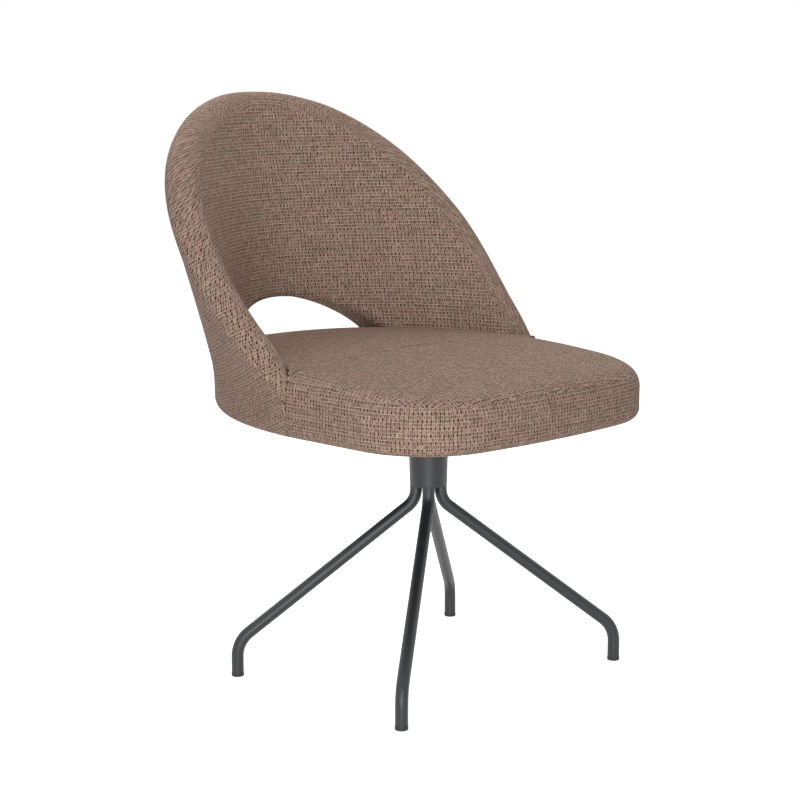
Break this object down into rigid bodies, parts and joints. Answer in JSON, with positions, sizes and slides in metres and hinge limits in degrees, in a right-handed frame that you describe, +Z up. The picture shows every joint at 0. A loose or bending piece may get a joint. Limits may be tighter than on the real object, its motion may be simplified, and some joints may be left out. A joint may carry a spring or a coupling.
{
  "type": "swivel dining chair",
  "caption": "Upholstered bucket dining chair with winged curved back on a swivel column and splayed bent-tube legs.",
  "frame": {"origin": "on the floor under the middle of the chair's overall width and depth", "axes": "+Z up, the sitter faces -Y, +X to the sitter's left"},
  "size_m": [0.598, 0.6802, 0.85],
  "materials": {
    "powder_coat": "satin graphite powder coat",
    "bearing_steel": "zinc-plated steel",
    "frame_steel": "black paint over welded steel",
    "glide_plastic": "black moulded plastic",
    "bush_plastic": "natural acetal",
    "plywood": "raw plywood",
    "dust_cloth": "black non-woven cloth",
    "seat_weave": "coarse taupe boucle weave",
    "back_weave": "coarse taupe boucle weave",
    "foam": "moulded polyurethane foam"
  },
  "bodies": {
    "base": {"leg_front_left": "powder_coat", "leg_front_right": "powder_coat", "leg_rear_left": "powder_coat", "leg_rear_right": "powder_coat", "column_sleeve": "powder_coat", "hub_plate": "powder_coat", "bearing_housing": "bearing_steel", "glide_front_left": "glide_plastic", "glide_front_right": "glide_plastic", "glide_rear_left": "glide_plastic", "glide_rear_right": "glide_plastic", "lower_bush": "bush_plastic", "upper_bush": "bush_plastic"},
    "seat": {"swivel_plate": "powder_coat", "spindle": "bearing_steel", "retaining_washer": "bearing_steel", "retaining_bolt": "bearing_steel", "plate_bolts": "bearing_steel", "tee_nuts": "bearing_steel", "bracket_screws": "bearing_steel", "back_frame": "frame_steel", "back_bracket_left": "frame_steel", "back_bracket_right": "frame_steel", "thrust_washer": "bush_plastic", "seat_board": "plywood", "dust_cover": "dust_cloth", "seat_top_cover": "seat_weave", "seat_band_cover": "seat_weave", "back_inner_cover": "back_weave", "back_outer_cover": "back_weave", "seat_foam": "foam", "back_foam": "foam"}
  },
  "joints": [
    {"name": "swivel", "type": "hinge", "parent": "base", "child": "seat", "pos_m": [0, -0.07909, 0], "axis": [0, 0, 1], "continuous": true}
  ]
}
